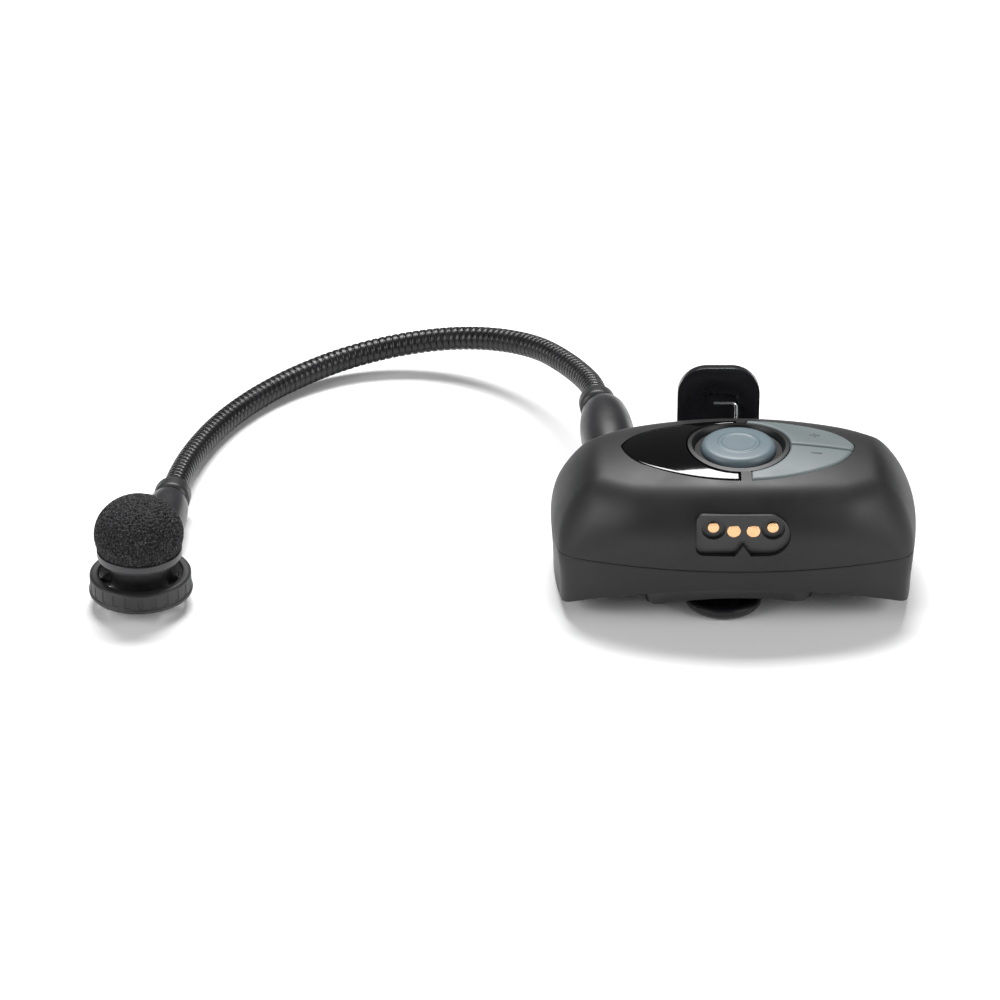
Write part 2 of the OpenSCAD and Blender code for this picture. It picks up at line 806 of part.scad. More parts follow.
// Foam ball: an oval of revolution that sits in the cup over the capsule
module foamWindscreen() {
    steps = 24;
    low = -foam_lift - 0.9;
    from = asin((0.05 - foam_lift) / foam_c);
    side = [for (k = [0:steps]) let (a = from + (90 - from) * k / steps)
        [foam_a * cos(a), foam_c * sin(a)]];
    plug = [[0, low], [cup_r - 1.1, low], [cup_r - 1.1, 0.05 - foam_lift]];
    color("#111112") translate([ring_pos[0], ring_pos[1], rim_z + foam_lift]) difference() {
        rotate_extrude() polygon(concat(plug, side));
        translate([0, 0, low - eps]) cylinder(r = 5.5, h = 3.2 + eps);
    }
}

topShell();  // top_shell
bottomShell();  // bottom_shell
shellScrews();  // shell_screws
bezelRing();  // bezel_ring
mainButton();  // main_button
displayLens();  // display_lens
volumeUpKey();  // volume_up_key
volumeDownKey();  // volume_down_key
chargePort();  // charge_port
contactPads();  // contact_pads
contactPins();  // contact_pins
mainBoard();  // main_board
keySwitches();  // key_switches
displayLeds();  // display_leds
battery();
antenna();
clipBracket();  // clip_bracket
bracketScrews();  // bracket_screws
clipLever();  // clip_lever
clipPin();  // clip_pin
clipSpring();  // clip_spring
bodyBoot();  // body_boot
bootNut();  // boot_nut
bodyCollar();  // body_collar
neckLink(0);  // neck_link_1
neckLink(1);  // neck_link_2
neckLink(2);  // neck_link_3
neckLink(3);  // neck_link_4
neckLink(4);  // neck_link_5
neckLink(5);  // neck_link_6
neckLink(6);  // neck_link_7
neckLink(7);  // neck_link_8
neckLink(8);  // neck_link_9
micCollar();  // mic_collar
micBoot();  // mic_boot
micRing();  // mic_ring
trunnionPins();  // trunnion_pins
micBody();  // mic_body
windscreenCup();  // windscreen_cup
micCapsule();  // mic_capsule
capsuleGasket();  // capsule_gasket
foamWindscreen();  // foam_windscreen
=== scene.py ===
import math
import bpy
import bmesh
from mathutils import Matrix, Vector, noise


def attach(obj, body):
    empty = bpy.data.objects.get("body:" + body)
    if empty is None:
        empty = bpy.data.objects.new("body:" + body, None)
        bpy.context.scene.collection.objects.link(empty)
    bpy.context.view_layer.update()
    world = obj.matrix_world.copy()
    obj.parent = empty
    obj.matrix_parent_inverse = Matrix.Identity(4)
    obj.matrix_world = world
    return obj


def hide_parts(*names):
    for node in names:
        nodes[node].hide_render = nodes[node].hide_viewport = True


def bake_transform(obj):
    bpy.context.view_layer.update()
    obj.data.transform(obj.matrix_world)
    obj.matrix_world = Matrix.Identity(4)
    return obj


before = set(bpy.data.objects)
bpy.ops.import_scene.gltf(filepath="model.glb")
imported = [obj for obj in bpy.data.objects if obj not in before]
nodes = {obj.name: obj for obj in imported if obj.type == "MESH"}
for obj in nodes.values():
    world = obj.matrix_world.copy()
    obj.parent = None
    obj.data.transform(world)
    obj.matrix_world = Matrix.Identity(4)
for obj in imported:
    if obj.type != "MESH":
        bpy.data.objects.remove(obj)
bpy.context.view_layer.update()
mm = 0.001
print("frame loaded:", len(nodes), "nodes")

# the view, the paper floor and three soft lamps
studio = {
    "eye": (-52, -882.6, 510.0),   # mm
    "lookDown": 29.0,              # degrees below level
    "lens": 165.6,
    "floorWhite": "#f6f6f6",
    "floorHalf": 2.5,              # m
    "floorDrop": 0.05,             # mm, keeps the clip's sole clear of it
    "skyStrength": 0.09,
    "lamps": [                     # place in mm, aimed at, size in mm, watts
        {"at": (-60, 490, 890), "aim": (-40, 20, 0), "size": (640, 330), "watts": 15.0},
        {"at": (-820, -420, 440), "aim": (-40, 0, 0), "size": (600, 500), "watts": 5.6},
        {"at": (780, -420, 440), "aim": (-40, 0, 0), "size": (600, 500), "watts": 5.6},
    ],
}


def toLinear(hexColour):
    parts = [int(hexColour[k:k + 2], 16) / 255 for k in (1, 3, 5)]
    return [c / 12.92 if c <= 0.04045 else ((c + 0.055) / 1.055) ** 2.4 for c in parts] + [1.0]


def addNode(tree, kind, settings=None, links=None):
    node = tree.nodes.new(kind)
    for key, value in (settings or {}).items():
        if isinstance(key, int) or key in node.inputs:
            node.inputs[key].default_value = value
        else:
            setattr(node, key, value)
    for key, source in (links or {}).items():
        tree.links.new(source, node.inputs[key])
    return node


def newMaterial(name, settings):
    material = bpy.data.materials.new(name)
    material.use_nodes = True
    tree = material.node_tree
    tree.nodes.clear()
    shader = addNode(tree, "ShaderNodeBsdfPrincipled", settings)
    addNode(tree, "ShaderNodeOutputMaterial", links={"Surface": shader.outputs["BSDF"]})
    coords = addNode(tree, "ShaderNodeTexCoord").outputs["Object"]
    return material, tree, shader, coords


def setStudio():
    camera = bpy.data.objects.new("camera", bpy.data.cameras.new("camera"))
    camera.data.lens = studio["lens"]
    camera.data.sensor_width = 36
    camera.data.clip_start = 0.01
    camera.location = Vector(studio["eye"]) * mm
    camera.rotation_euler = (math.radians(90 - studio["lookDown"]), 0, 0)
    bpy.context.scene.collection.objects.link(camera)
    bpy.context.scene.camera = camera
    for k, lamp in enumerate(studio["lamps"]):
        data = bpy.data.lights.new(f"lamp{k}", "AREA")
        data.shape = "RECTANGLE"
        data.size, data.size_y = lamp["size"][0] * mm, lamp["size"][1] * mm
        data.energy = lamp["watts"]
        light = bpy.data.objects.new(f"lamp{k}", data)
        light.location = Vector(lamp["at"]) * mm
        beam = Vector(lamp["aim"]) - Vector(lamp["at"])
        light.rotation_euler = beam.to_track_quat("-Z", "Y").to_euler()
        bpy.context.scene.collection.objects.link(light)
    world = bpy.data.worlds.new("sky")
    world.use_nodes = True
    sky = world.node_tree.nodes["Background"]
    sky.inputs["Color"].default_value = (1, 1, 1, 1)
    sky.inputs["Strength"].default_value = studio["skyStrength"]
    bpy.context.scene.world = world
    bpy.context.scene.view_settings.view_transform = "Standard"
    bm = bmesh.new()
    bmesh.ops.create_grid(bm, x_segments=4, y_segments=4, size=studio["floorHalf"])
    mesh = bpy.data.meshes.new("floor")
    bm.to_mesh(mesh)
    bm.free()
    floor = bpy.data.objects.new("floor", mesh)
    floor.location.z = -studio["floorDrop"] * mm
    bpy.context.scene.collection.objects.link(floor)
    material, *_ = newMaterial("paperFloor", {"Base Color": toLinear(studio["floorWhite"]),
                                              "Roughness": 0.95, "Specular IOR Level": 0.1})
    mesh.materials.append(material)


# moulded plastic and rubber, plated metal and foam
def moulded(name, colour, lighter, rough, grain, depth, settings=None, patch=9.0, spread=0.05):
    # injection-moulded plastic or rubber: a fine spark-eroded grain breaks up the highlight,
    # broad patches of slightly different gloss come from handling
    # colours are sRGB; grain, depth and patch are sizes in mm
    material, tree, shader, coords = newMaterial(name, {"Roughness": rough, "IOR": 1.5,
                                                        **(settings or {})})
    broad = addNode(tree, "ShaderNodeTexNoise", {"Scale": 1000 / patch, "Detail": 3.0},
                    {"Vector": coords})
    fine = addNode(tree, "ShaderNodeTexNoise", {"Scale": 1000 / grain, "Detail": 2.0,
                                                "Roughness": 0.6}, {"Vector": coords})
    tone = addNode(tree, "ShaderNodeMix", {"data_type": "RGBA", 6: toLinear(colour),
                                           7: toLinear(lighter)}, {0: broad.outputs["Fac"]})
    tree.links.new(tone.outputs[2], shader.inputs["Base Color"])
    gloss = addNode(tree, "ShaderNodeMapRange", {"From Min": 0.3, "From Max": 0.7,
                                                 "To Min": rough - spread,
                                                 "To Max": rough + spread},
                    {"Value": broad.outputs["Fac"]})
    tree.links.new(gloss.outputs["Result"], shader.inputs["Roughness"])
    bump = addNode(tree, "ShaderNodeBump", {"Strength": 0.6, "Distance": depth * mm},
                   {"Height": fine.outputs["Fac"]})
    tree.links.new(bump.outputs["Normal"], shader.inputs["Normal"])
    return material


def metal(name, colour, darker, rough, scratch, depth):
    # plated or drawn metal: fine scratches, wider apart than real ones so that they show,
    # and darker where it has dulled
    material, tree, shader, coords = newMaterial(name, {"Metallic": 1.0, "Roughness": rough})
    lines = addNode(tree, "ShaderNodeTexNoise", {"Scale": 1000 / scratch, "Detail": 4.0},
                    {"Vector": coords})
    dull = addNode(tree, "ShaderNodeTexNoise", {"Scale": 1000 / (scratch * 8), "Detail": 2.0},
                   {"Vector": coords})
    tone = addNode(tree, "ShaderNodeMix", {"data_type": "RGBA", 6: toLinear(darker),
                                           7: toLinear(colour)}, {0: dull.outputs["Fac"]})
    tree.links.new(tone.outputs[2], shader.inputs["Base Color"])
    gloss = addNode(tree, "ShaderNodeMapRange", {"From Min": 0.3, "From Max": 0.7,
                                                 "To Min": rough * 0.75, "To Max": rough * 1.35},
                    {"Value": lines.outputs["Fac"]})
    tree.links.new(gloss.outputs["Result"], shader.inputs["Roughness"])
    bump = addNode(tree, "ShaderNodeBump", {"Strength": 0.4, "Distance": depth * mm},
                   {"Height": lines.outputs["Fac"]})
    tree.links.new(bump.outputs["Normal"], shader.inputs["Normal"])
    return material


def openCellFoam(name, settings):
    # reticulated polyurethane foam, near black: painted shade darkens the pores and painted glints
    # light up grey specks on the struts; its cells drawn a little coarser than the real half millimetre
    # so that they show
    material, tree, shader, coords = newMaterial(name, {"Roughness": 0.75, "IOR": 1.5,
                                                        "Specular IOR Level": 0.35})
    cells = addNode(tree, "ShaderNodeTexVoronoi", {"feature": "DISTANCE_TO_EDGE",
                                                   "Scale": 1000 / settings["cell"]},
                    {"Vector": coords})
    glintNoise = addNode(tree, "ShaderNodeTexNoise", {"Scale": 1000 / settings["glintSize"], "Detail": 2.0},
                     {"Vector": coords})
    strut = addNode(tree, "ShaderNodeMapRange", {"From Min": 0.02, "From Max": 0.28,
                                                 "To Min": 1.0, "To Max": 0.0},
                    {"Value": cells.outputs["Distance"]})
    # painted glints: only the specks of strut where this noise is high get the grey
    glintMask = addNode(tree, "ShaderNodeMapRange", {"From Min": 0.48, "From Max": 0.75,
                                                  "To Min": 0.03, "To Max": 1.0},
                     {"Value": glintNoise.outputs["Fac"]})
    both = addNode(tree, "ShaderNodeMath", {"operation": "MULTIPLY"},
                   {0: strut.outputs["Result"], 1: glintMask.outputs["Result"]})
    # mixes the painted shade of the pores with the painted glint colour of the struts
    tone = addNode(tree, "ShaderNodeMix", {"data_type": "RGBA", 6: toLinear(settings["pore"]),
                                           7: toLinear(settings["strut"])}, {0: both.outputs["Value"]})
    tree.links.new(tone.outputs[2], shader.inputs["Base Color"])
    bump = addNode(tree, "ShaderNodeBump", {"Strength": 1.0, "Distance": settings["depth"] * mm},
                   {"Height": strut.outputs["Result"]})
    tree.links.new(bump.outputs["Normal"], shader.inputs["Normal"])
    return material


setStudio()
finishes = {
    # soft-touch coat on moulded ABS: near black with a wide, dull sheen
    "softTouchAbs": moulded("softTouchAbs", "#151516", "#19191a", 0.5, 0.35, 0.012, {"IOR": 1.42}),
    # bare moulded ABS: a tighter highlight on a darker ground
    "bezelAbs": moulded("bezelAbs", "#0e0e0f", "#131314", 0.42, 0.3, 0.006, {"IOR": 1.42}),
    # silicone rubber keys: matt blue-grey, the raised signs a shade darker
    "siliconeKey": moulded("siliconeKey", "#5a6364", "#616a6b", 0.5, 0.3, 0.01),
    "siliconeButton": moulded("siliconeButton", "#55636a", "#5c6a71", 0.45, 0.3, 0.01),
    "keyMark": moulded("keyMark", "#4a5153", "#52595b", 0.55, 0.3, 0.01),
    # polished smoked acrylic: a sharp mirror of the lamps
    "glossAcrylic": moulded("glossAcrylic", "#060607", "#08080a", 0.06, 3.0, 0.004,
                            {"IOR": 1.49}, patch=14.0, spread=0.02),
    # moulded nylon: dark and waxy, glossier where it is rubbed
    "portNylon": moulded("portNylon", "#1d1d1f", "#232325", 0.45, 0.3, 0.01),
    "clipNylon": moulded("clipNylon", "#17171a", "#1c1c1e", 0.28, 0.4, 0.008),
    "saddleNylon": moulded("saddleNylon", "#161618", "#1b1b1d", 0.4, 0.4, 0.01),
    # rubber boots and the coated steel coil: soft highlights along the length
    "bootRubber": moulded("bootRubber", "#202022", "#252527", 0.36, 0.4, 0.01),
    "coatedCoil": moulded("coatedCoil", "#161618", "#1d1d1f", 0.34, 0.25, 0.006, {"Metallic": 0.3}),
    # nylon collars, ring and cup: fine grain, the cup a dark grey
    "collarNylon": moulded("collarNylon", "#19191b", "#1f1f21", 0.45, 0.35, 0.01),
    "ringNylon": moulded("ringNylon", "#1d1d1f", "#232325", 0.5, 0.35, 0.012),
    "cupNylon": moulded("cupNylon", "#2c2c2e", "#313133", 0.36, 0.4, 0.008),
    "micBlack": moulded("micBlack", "#080809", "#0b0b0c", 0.5, 0.35, 0.01),
    # inside the pack: shrink wrap, solder mask and lamp plastic
    "battWrap": moulded("battWrap", "#4e525b", "#575b64", 0.4, 1.2, 0.01),
    "boardMask": moulded("boardMask", "#1c5537", "#226040", 0.35, 0.8, 0.01),
    "lampWhite": moulded("lampWhite", "#cfcfc8", "#dadad4", 0.3, 0.5, 0.004),
    # gold flash, spring steel, zinc plate, copper foil and nickel: bright, finely scratched
    "goldPlate": metal("goldPlate", "#f0c79a", "#d9a878", 0.3, 0.3, 0.004),
    "springSteel": metal("springSteel", "#e2e4e6", "#c9cbce", 0.3, 0.25, 0.004),
    "zincScrew": metal("zincScrew", "#8b8d90", "#6d6f72", 0.34, 0.3, 0.006),
    "copperFoil": metal("copperFoil", "#c08a58", "#9e6c40", 0.35, 0.6, 0.004),
    "capsuleNickel": metal("capsuleNickel", "#b9bbbd", "#96989b", 0.3, 0.3, 0.004),
}
carried = {
    "shell_screws": "zincScrew", "bracket_screws": "zincScrew", "bezel_ring": "bezelAbs",
    "charge_port": "portNylon", "main_board": "boardMask", "key_switches": "zincScrew",
    "display_leds": "lampWhite", "battery": "battWrap", "antenna": "copperFoil",
    "clip_pin": "springSteel", "boot_nut": "zincScrew", "trunnion_pins": "micBlack",
    "mic_body": "micBlack", "mic_capsule": "capsuleNickel", "capsule_gasket": "micBlack",
    "clip_bracket": "saddleNylon", "clip_lever": "clipNylon",
}
for nodeName, finish in carried.items():
    for materialSlot in nodes[nodeName].material_slots:
        materialSlot.material = finishes[finish]
print("materials ready")


# small tools that several pieces share
def makePiece(name, bm, finish, angle=35):
    mesh = bpy.data.meshes.new(name)
    bm.to_mesh(mesh)
    bm.free()
    piece = bpy.data.objects.new(name, mesh)
    bpy.context.scene.collection.objects.link(piece)
    if finish:
        mesh.materials.append(finishes[finish])
    shadeByAngle(mesh, angle)
    return piece


def shadeByAngle(mesh, angle):
    for face in mesh.polygons:
        face.use_smooth = True
    mesh.set_sharp_from_angle(angle=math.radians(angle))


def softCorners(points, closed=False, steps=5):
    # rounds the corners of a profile; each point is (radius, height, rounding) in mm
    out = []
    count = len(points)
    for k, (r, z, rounding) in enumerate(points):
        here = Vector((r, z))
        if rounding <= 0 or (not closed and k in (0, count - 1)):
            out.append(here)
            continue
        before = Vector(points[k - 1][:2]) - here
        after = Vector(points[(k + 1) % count][:2]) - here
        a = here + before.normalized() * min(rounding, before.length * 0.49)
        b = here + after.normalized() * min(rounding, after.length * 0.49)
        for j in range(steps + 1):
            t = j / steps
            out.append(a * (1 - t) ** 2 + here * 2 * t * (1 - t) + b * t ** 2)
    return out


def latheMesh(profile, place, closed=False, steps=72):
    bm = bmesh.new()
    verts = [bm.verts.new((p[0] * mm, 0, p[1] * mm)) for p in profile]
    edges = [bm.edges.new(pair) for pair in zip(verts, verts[1:])]
    if closed:
        edges.append(bm.edges.new((verts[-1], verts[0])))
    bmesh.ops.spin(bm, geom=verts + edges, cent=(0, 0, 0), axis=(0, 0, 1), angle=2 * math.pi,
                   steps=steps, use_merge=True)
    bmesh.ops.remove_doubles(bm, verts=bm.verts, dist=1e-6)
    bmesh.ops.recalc_face_normals(bm, faces=bm.faces)
    bmesh.ops.transform(bm, matrix=place, verts=bm.verts)
    return bm


def shift(x, y, z):
    return Matrix.Translation((x * mm, y * mm, z * mm))


def turn(degrees, axis):
    return Matrix.Rotation(math.radians(degrees), 4, axis)


def carve(piece, cutters, angle=32):
    for cutter in cutters:
        step = piece.modifiers.new("carve", "BOOLEAN")
        step.operation = "DIFFERENCE"
        step.solver = "EXACT"
        step.object = cutter
    graph = bpy.context.evaluated_depsgraph_get()
    mesh = bpy.data.meshes.new_from_object(piece.evaluated_get(graph))
    piece.modifiers.clear()
    piece.data = mesh
    for cutter in cutters:
        bpy.data.objects.remove(cutter)
    shadeByAngle(mesh, angle)


def prism(name, outline, low, high, place=None):
    # an outline in mm, made solid between two heights
    bm = bmesh.new()
    verts = [bm.verts.new((x * mm, y * mm, low * mm)) for x, y in outline]
    face = bm.faces.new(verts)
    made = bmesh.ops.extrude_face_region(bm, geom=[face])
    top = [v for v in made["geom"] if isinstance(v, bmesh.types.BMVert)]
    bmesh.ops.translate(bm, verts=top, vec=(0, 0, (high - low) * mm))
    bmesh.ops.recalc_face_normals(bm, faces=bm.faces)
    if place:
        bmesh.ops.transform(bm, matrix=place, verts=bm.verts)
    return makePiece(name, bm, None)


def rod(name, radius, low, high, place, steps=96):
    bm = bmesh.new()
    bmesh.ops.create_cone(bm, cap_ends=True, segments=steps, radius1=radius * mm, radius2=radius * mm,
                          depth=(high - low) * mm)
    bmesh.ops.translate(bm, verts=bm.verts, vec=(0, 0, (high + low) / 2 * mm))
    bmesh.ops.transform(bm, matrix=place, verts=bm.verts)
    return makePiece(name, bm, None)


def settle(piece, body, slot, *stands):
    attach(piece, body)
    if stands:
        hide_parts(*stands)
    return piece


# the two shells, drawn from four plan arcs and a domed top
pack = {
    # each side of the plan is an arc: its middle and radius in mm
    "front": (0, 85.5, 108), "rear": (0, -127, 150),
    "left": (59.05, 4, 100), "right": (-60.45, 4, 100),
    "domeZ": -114.8, "domeMajor": 96, "domeMinor": 54, "cornerRound": (1.6, 8.5), "sideTaper": 0.8,
    "browRound": 7.5, "napeRound": 9.0, "shoulderRound": 14.0,
    "seam": 15.4, "archTop": 10.9, "archRadius": 105, "wall": 2.4, "cuts": 62, "seamRow": 33,
    "low": -6, "depthGuess": 44, "seamHold": 0.8, "seamGroove": 0.22,
    "screwHead": 2.2, "screwTop": 7.34, "screws": [(-32.5, -8), (32.5, -8), (-32.5, 13), (32.5, 13)],
    "pocketLow": 25.5, "pocketTop": 40,
}


def roundMax(a, b, r):
    return min(-r, max(a, b)) + math.hypot(max(a + r, 0), max(b + r, 0))


def blendStep(x, low, high):
    t = min(max((x - low) / (high - low), 0), 1)
    return t * t * (3 - 2 * t)


def domeDistance(x, y, z):
    return math.hypot(math.hypot(x, z - pack["domeZ"]) - pack["domeMajor"], y) - pack["domeMinor"]


def packDistance(x, y, z, least=0.0):
    def side(key):
        cx, cy, r = pack[key]
        return math.hypot(x - cx, y - cy) - r
    low, high = max(pack["cornerRound"][0], least), pack["cornerRound"][1]
    flare = pack["sideTaper"] * (1 - blendStep(z, 3, 19))
    plan = roundMax(max(side("front"), side("rear")), max(side("left"), side("right")) + flare,
                    low + (high - low) * blendStep(z, 11, 29))
    edge = pack["browRound"] + (pack["napeRound"] - pack["browRound"]) * blendStep(y, -6, 8)
    edge += (pack["shoulderRound"] - edge) * blendStep(abs(x), 22, 39)
    return roundMax(plan, domeDistance(x, y, z), edge)


def domeHeight(x, y):
    reach = pack["domeMajor"] + math.sqrt(pack["domeMinor"] ** 2 - y * y)
    return pack["domeZ"] + math.sqrt(max(reach ** 2 - x * x, 0))


def packForm(inset):
    # a finely divided box whose walls and top are drawn onto the pack's rounded form
    bm = bmesh.new()
    bmesh.ops.create_cube(bm, size=1)
    bmesh.ops.subdivide_edges(bm, edges=bm.edges, cuts=pack["cuts"], use_grid_fill=True)
    base = [f for f in bm.faces if f.calc_center_median().z < -0.4999]
    bmesh.ops.delete(bm, geom=base, context="FACES")
    d = 0.01
    least = 5.0 if inset else 0.0
    topShare = (pack["cuts"] + 1) / pack["seamRow"]
    for v in bm.verts:
        y = v.co.y * pack["depthGuess"]
        reach = math.sqrt(pack["left"][2] ** 2 - (y - pack["left"][1]) ** 2)
        x0, x1 = pack["left"][0] - reach, pack["right"][0] + reach
        x = (x0 + x1) / 2 + v.co.x * (x1 - x0)
        y0 = pack["front"][1] - math.sqrt(pack["front"][2] ** 2 - x * x)
        y1 = pack["rear"][1] + math.sqrt(pack["rear"][2] ** 2 - x * x)
        y = (y0 + y1) / 2 + v.co.y * (y1 - y0)
        share = (v.co.z + 0.5) * topShare
        if share <= 1:
            z = pack["low"] + share * (pack["seam"] - pack["low"])
        else:
            z = pack["seam"] + (share - 1) * (domeHeight(x, y) - pack["seam"]) / (topShare - 1)
        fixed = z < pack["seam"] + pack["seamHold"]
        for _ in range(6):
            f = packDistance(x, y, z, least)
            gx = (packDistance(x + d, y, z, least) - f) / d
            gy = (packDistance(x, y + d, z, least) - f) / d
            gz = 0 if fixed else (packDistance(x, y, z + d, least) - f) / d
            size = max(gx * gx + gy * gy + gz * gz, 1e-6)
            step = (f + inset) / size
            x, y, z = x - gx * step, y - gy * step, z - gz * step
        v.co = (x * mm, y * mm, z * mm)
    return bm


def sealBase(bm):
    bmesh.ops.holes_fill(bm, edges=[e for e in bm.edges if e.is_boundary], sides=0)
    bmesh.ops.recalc_face_normals(bm, faces=bm.faces)


def halfShell(form, top):
    # one side of the seam, its edge eased so that the two shells meet in a fine groove
    bm = form.copy()
    bmesh.ops.bisect_plane(bm, geom=bm.verts[:] + bm.edges[:] + bm.faces[:], dist=1e-7,
                           plane_co=(0, 0, pack["seam"] * mm), plane_no=(0, 0, 1),
                           clear_inner=top, clear_outer=not top)
    sealBase(bm)
    rim = [e for e in bm.edges if all(abs(v.co.z - pack["seam"] * mm) < 1e-6 for v in e.verts)]
    bmesh.ops.bevel(bm, geom=rim, offset=pack["seamGroove"] * mm, offset_type="OFFSET", segments=2,
                    profile=0.5, affect="EDGES", material=-1)
    return bm


panel = {
    "lowArc": (19.7, 33.7), "highArc": (-40, 52.5), "half": 25.9, "bezel": 11.1,
    "strip": (-0.1, 2.2), "split": -0.2, "gap": 0.12, "thick": 1.5,
    "lensRise": -0.02, "keyRise": 0.22, "edgeRound": 0.6, "tipRound": 4.5,
}


def panelReach(angle, grow=0.0):
    # how far the almond outline, its corners rounded, is from the button's middle in a direction
    c, s = math.cos(angle), math.sin(angle)
    near, far = 5.0, panel["half"]
    for _ in range(24):
        r = (near + far) / 2
        arcs = [math.hypot(r * c, r * s - cy) - radius
                for cy, radius in (panel["lowArc"], panel["highArc"])]
        outside = roundMax(max(arcs), r - panel["half"], panel["tipRound"]) > 0
        near, far = (near, r) if outside else (r, far)
    return near + grow


def panelSpan(side, r, grow):
    # first and last direction of the lens (side -1) or the keys (side +1) at a radius
    low, high = panel["strip"]
    if side < 0:
        return math.acos((low + grow) / r), 2 * math.pi - math.acos((low + grow) / r)
    return -math.acos((high - grow) / r), math.acos((high - grow) / r)


def pocketOutline(side):
    # the hole in the top shell for the lens or for the keys
    gap = panel["gap"]
    points = []
    inner = panel["bezel"] - 2
    first, last = panelSpan(side, 13.0, gap)
    for k in range(121):
        a = first + (last - first) * k / 120
        points.append((panelReach(a, gap) * math.cos(a), panelReach(a, gap) * math.sin(a)))
    first, last = panelSpan(side, inner, gap)
    for k in range(41):
        a = last + (first - last) * k / 40
        points.append((inner * math.cos(a), inner * math.sin(a)))
    return points


def graded(count, length, rounding):
    # places along a length, close together at both ends where the edge is rounded
    near = [0, 0.08, 0.22, 0.42, 0.7, 1.0]
    ends = [rounding * n for n in near]
    middle = count - 2 * len(near) + 2
    spread = [ends[-1] + (length - 2 * ends[-1]) * k / middle for k in range(1, middle)]
    return ends + spread + [length - e for e in reversed(ends)]


def panelPlate(name, first, last, rise, finish, alongCount, acrossCount):
    # a plate that follows the dome between two edges (functions of the radius), rounded all round
    inner = panel["bezel"] + 0.2
    rounding = panel["edgeRound"]
    bm = bmesh.new()
    bmesh.ops.create_grid(bm, x_segments=alongCount, y_segments=acrossCount, size=0.5)
    for v in bm.verts:
        i = round((v.co.x + 0.5) * alongCount)
        j = round((v.co.y + 0.5) * acrossCount)
        share = i / alongCount
        a = first(16) + (last(16) - first(16)) * share
        for _ in range(3):
            reach = panelReach(a) - inner
            across = graded(acrossCount, reach, rounding)[j]
            r = inner + across
            start, end = first(r), last(r)
            run = graded(alongCount, abs(end - start) * r, rounding)
            a = start + (end - start) * run[i] / run[-1]
        dropA = max(rounding - min(across, reach - across), 0)
        dropB = max(rounding - min(run[i], run[-1] - run[i]), 0)
        q = min(math.hypot(dropA, dropB), rounding)
        x, y = r * math.cos(a), r * math.sin(a)
        z = domeHeight(x, y) + rise - rounding + math.sqrt(rounding ** 2 - q * q)
        v.co = (x * mm, y * mm, z * mm)
    border = [e for e in bm.edges if e.is_boundary]
    made = bmesh.ops.extrude_edge_only(bm, edges=border)
    lower = [v for v in made["geom"] if isinstance(v, bmesh.types.BMVert)]
    bmesh.ops.translate(bm, verts=lower, vec=(0, 0, -panel["thick"] * mm))
    sealBase(bm)
    return makePiece(name, bm, finish, 40)


port = {"x": 0.3, "z": 24.0, "half": 10.2, "r": 4.7, "corner": 1.6, "face": -21.1,
        "pads": (-1.7, 2.5), "padZ": 24.7, "padR": 1.52, "pins": (-6.1, 6.7), "pinZ": 25.3, "pinR": 1.3}


def portOutline(grow):
    # a slot, square at one end and round at the other, with the key's V in its lower edge
    r, half, corner = port["r"] + grow, port["half"] + grow, port["corner"]
    points = []
    for k in range(9):
        a = math.radians(180 + 90 * k / 8)
        points.append((corner - half + corner * math.cos(a), corner - r + corner * math.sin(a)))
    points += [(-1.7 - grow, -r), (0, -2.2 - grow), (1.7 + grow, -r)]
    for k in range(33):
        a = math.radians(-90 + 180 * k / 32)
        points.append((half - r + r * math.cos(a), r * math.sin(a)))
    for k in range(9):
        a = math.radians(90 + 90 * k / 8)
        points.append((corner - half + corner * math.cos(a), r - corner + corner * math.sin(a)))
    return [(x + port["x"], z + port["z"]) for x, z in points]


def buildPack():
    outer = packForm(0.0)
    inner = packForm(pack["wall"])
    sealBase(inner)
    uprightPlace = turn(90, "X")
    topBm = halfShell(outer, True)
    lowBm = halfShell(outer, False)
    outer.free()

    topCase = makePiece("topCase", topBm, "softTouchAbs", 32)
    hollow = makePiece("hollowTop", inner.copy(), None)
    carve(topCase, [
        hollow,
        prism("lensPocket", pocketOutline(-1), pack["pocketLow"], pack["pocketTop"]),
        prism("keyPocket", pocketOutline(1), pack["pocketLow"], pack["pocketTop"]),
        rod("buttonWell", panel["bezel"] + 0.1, pack["pocketLow"], pack["pocketTop"],
            Matrix.Identity(4), 160),
        prism("portWindow", portOutline(0.0), -port["face"] - 4, -port["face"] + 5, uprightPlace),
    ])
    settle(topCase, "pack", "shell_black", "top_shell")

    lowCase = makePiece("lowCase", lowBm, "softTouchAbs", 32)
    hollow = makePiece("hollowLow", inner, None)
    archPlace = shift(0, 0, pack["archTop"] - pack["archRadius"]) @ turn(90, "X")
    carve(hollow, [rod("archFloor", pack["archRadius"] + pack["wall"], -60, 60, archPlace, 360)])
    wells = [rod(f"screwWell{k}", pack["screwHead"], 0, pack["screwTop"], shift(x, y, 0), 40)
             for k, (x, y) in enumerate(pack["screws"])]
    carve(lowCase, [hollow, rod("archCut", pack["archRadius"], -60, 60, archPlace, 360)] + wells)
    settle(lowCase, "pack", "shell_black", "bottom_shell")
    print("shells ready:", len(topCase.data.polygons), len(lowCase.data.polygons))


signs = {   # middle, width and depth in mm, and the key that carries it
    "plusA": (16.8, 4.9, 2.3, 0.55, "volume_up"), "plusB": (16.8, 4.9, 0.55, 2.0, "volume_up"),
    "minusA": (16.8, -3.4, 2.3, 0.55, "volume_down"),
}
signShape = {"thick": 0.4, "edge": 0.12, "sunk": 0.08}
button = {"foot": 25.4, "stem": 2.2, "low": 30.7, "flange": 8.85, "flangeThick": 0.8, "r": 8.15,
          "top": 35.0, "ring": (3.6, 4.7)}


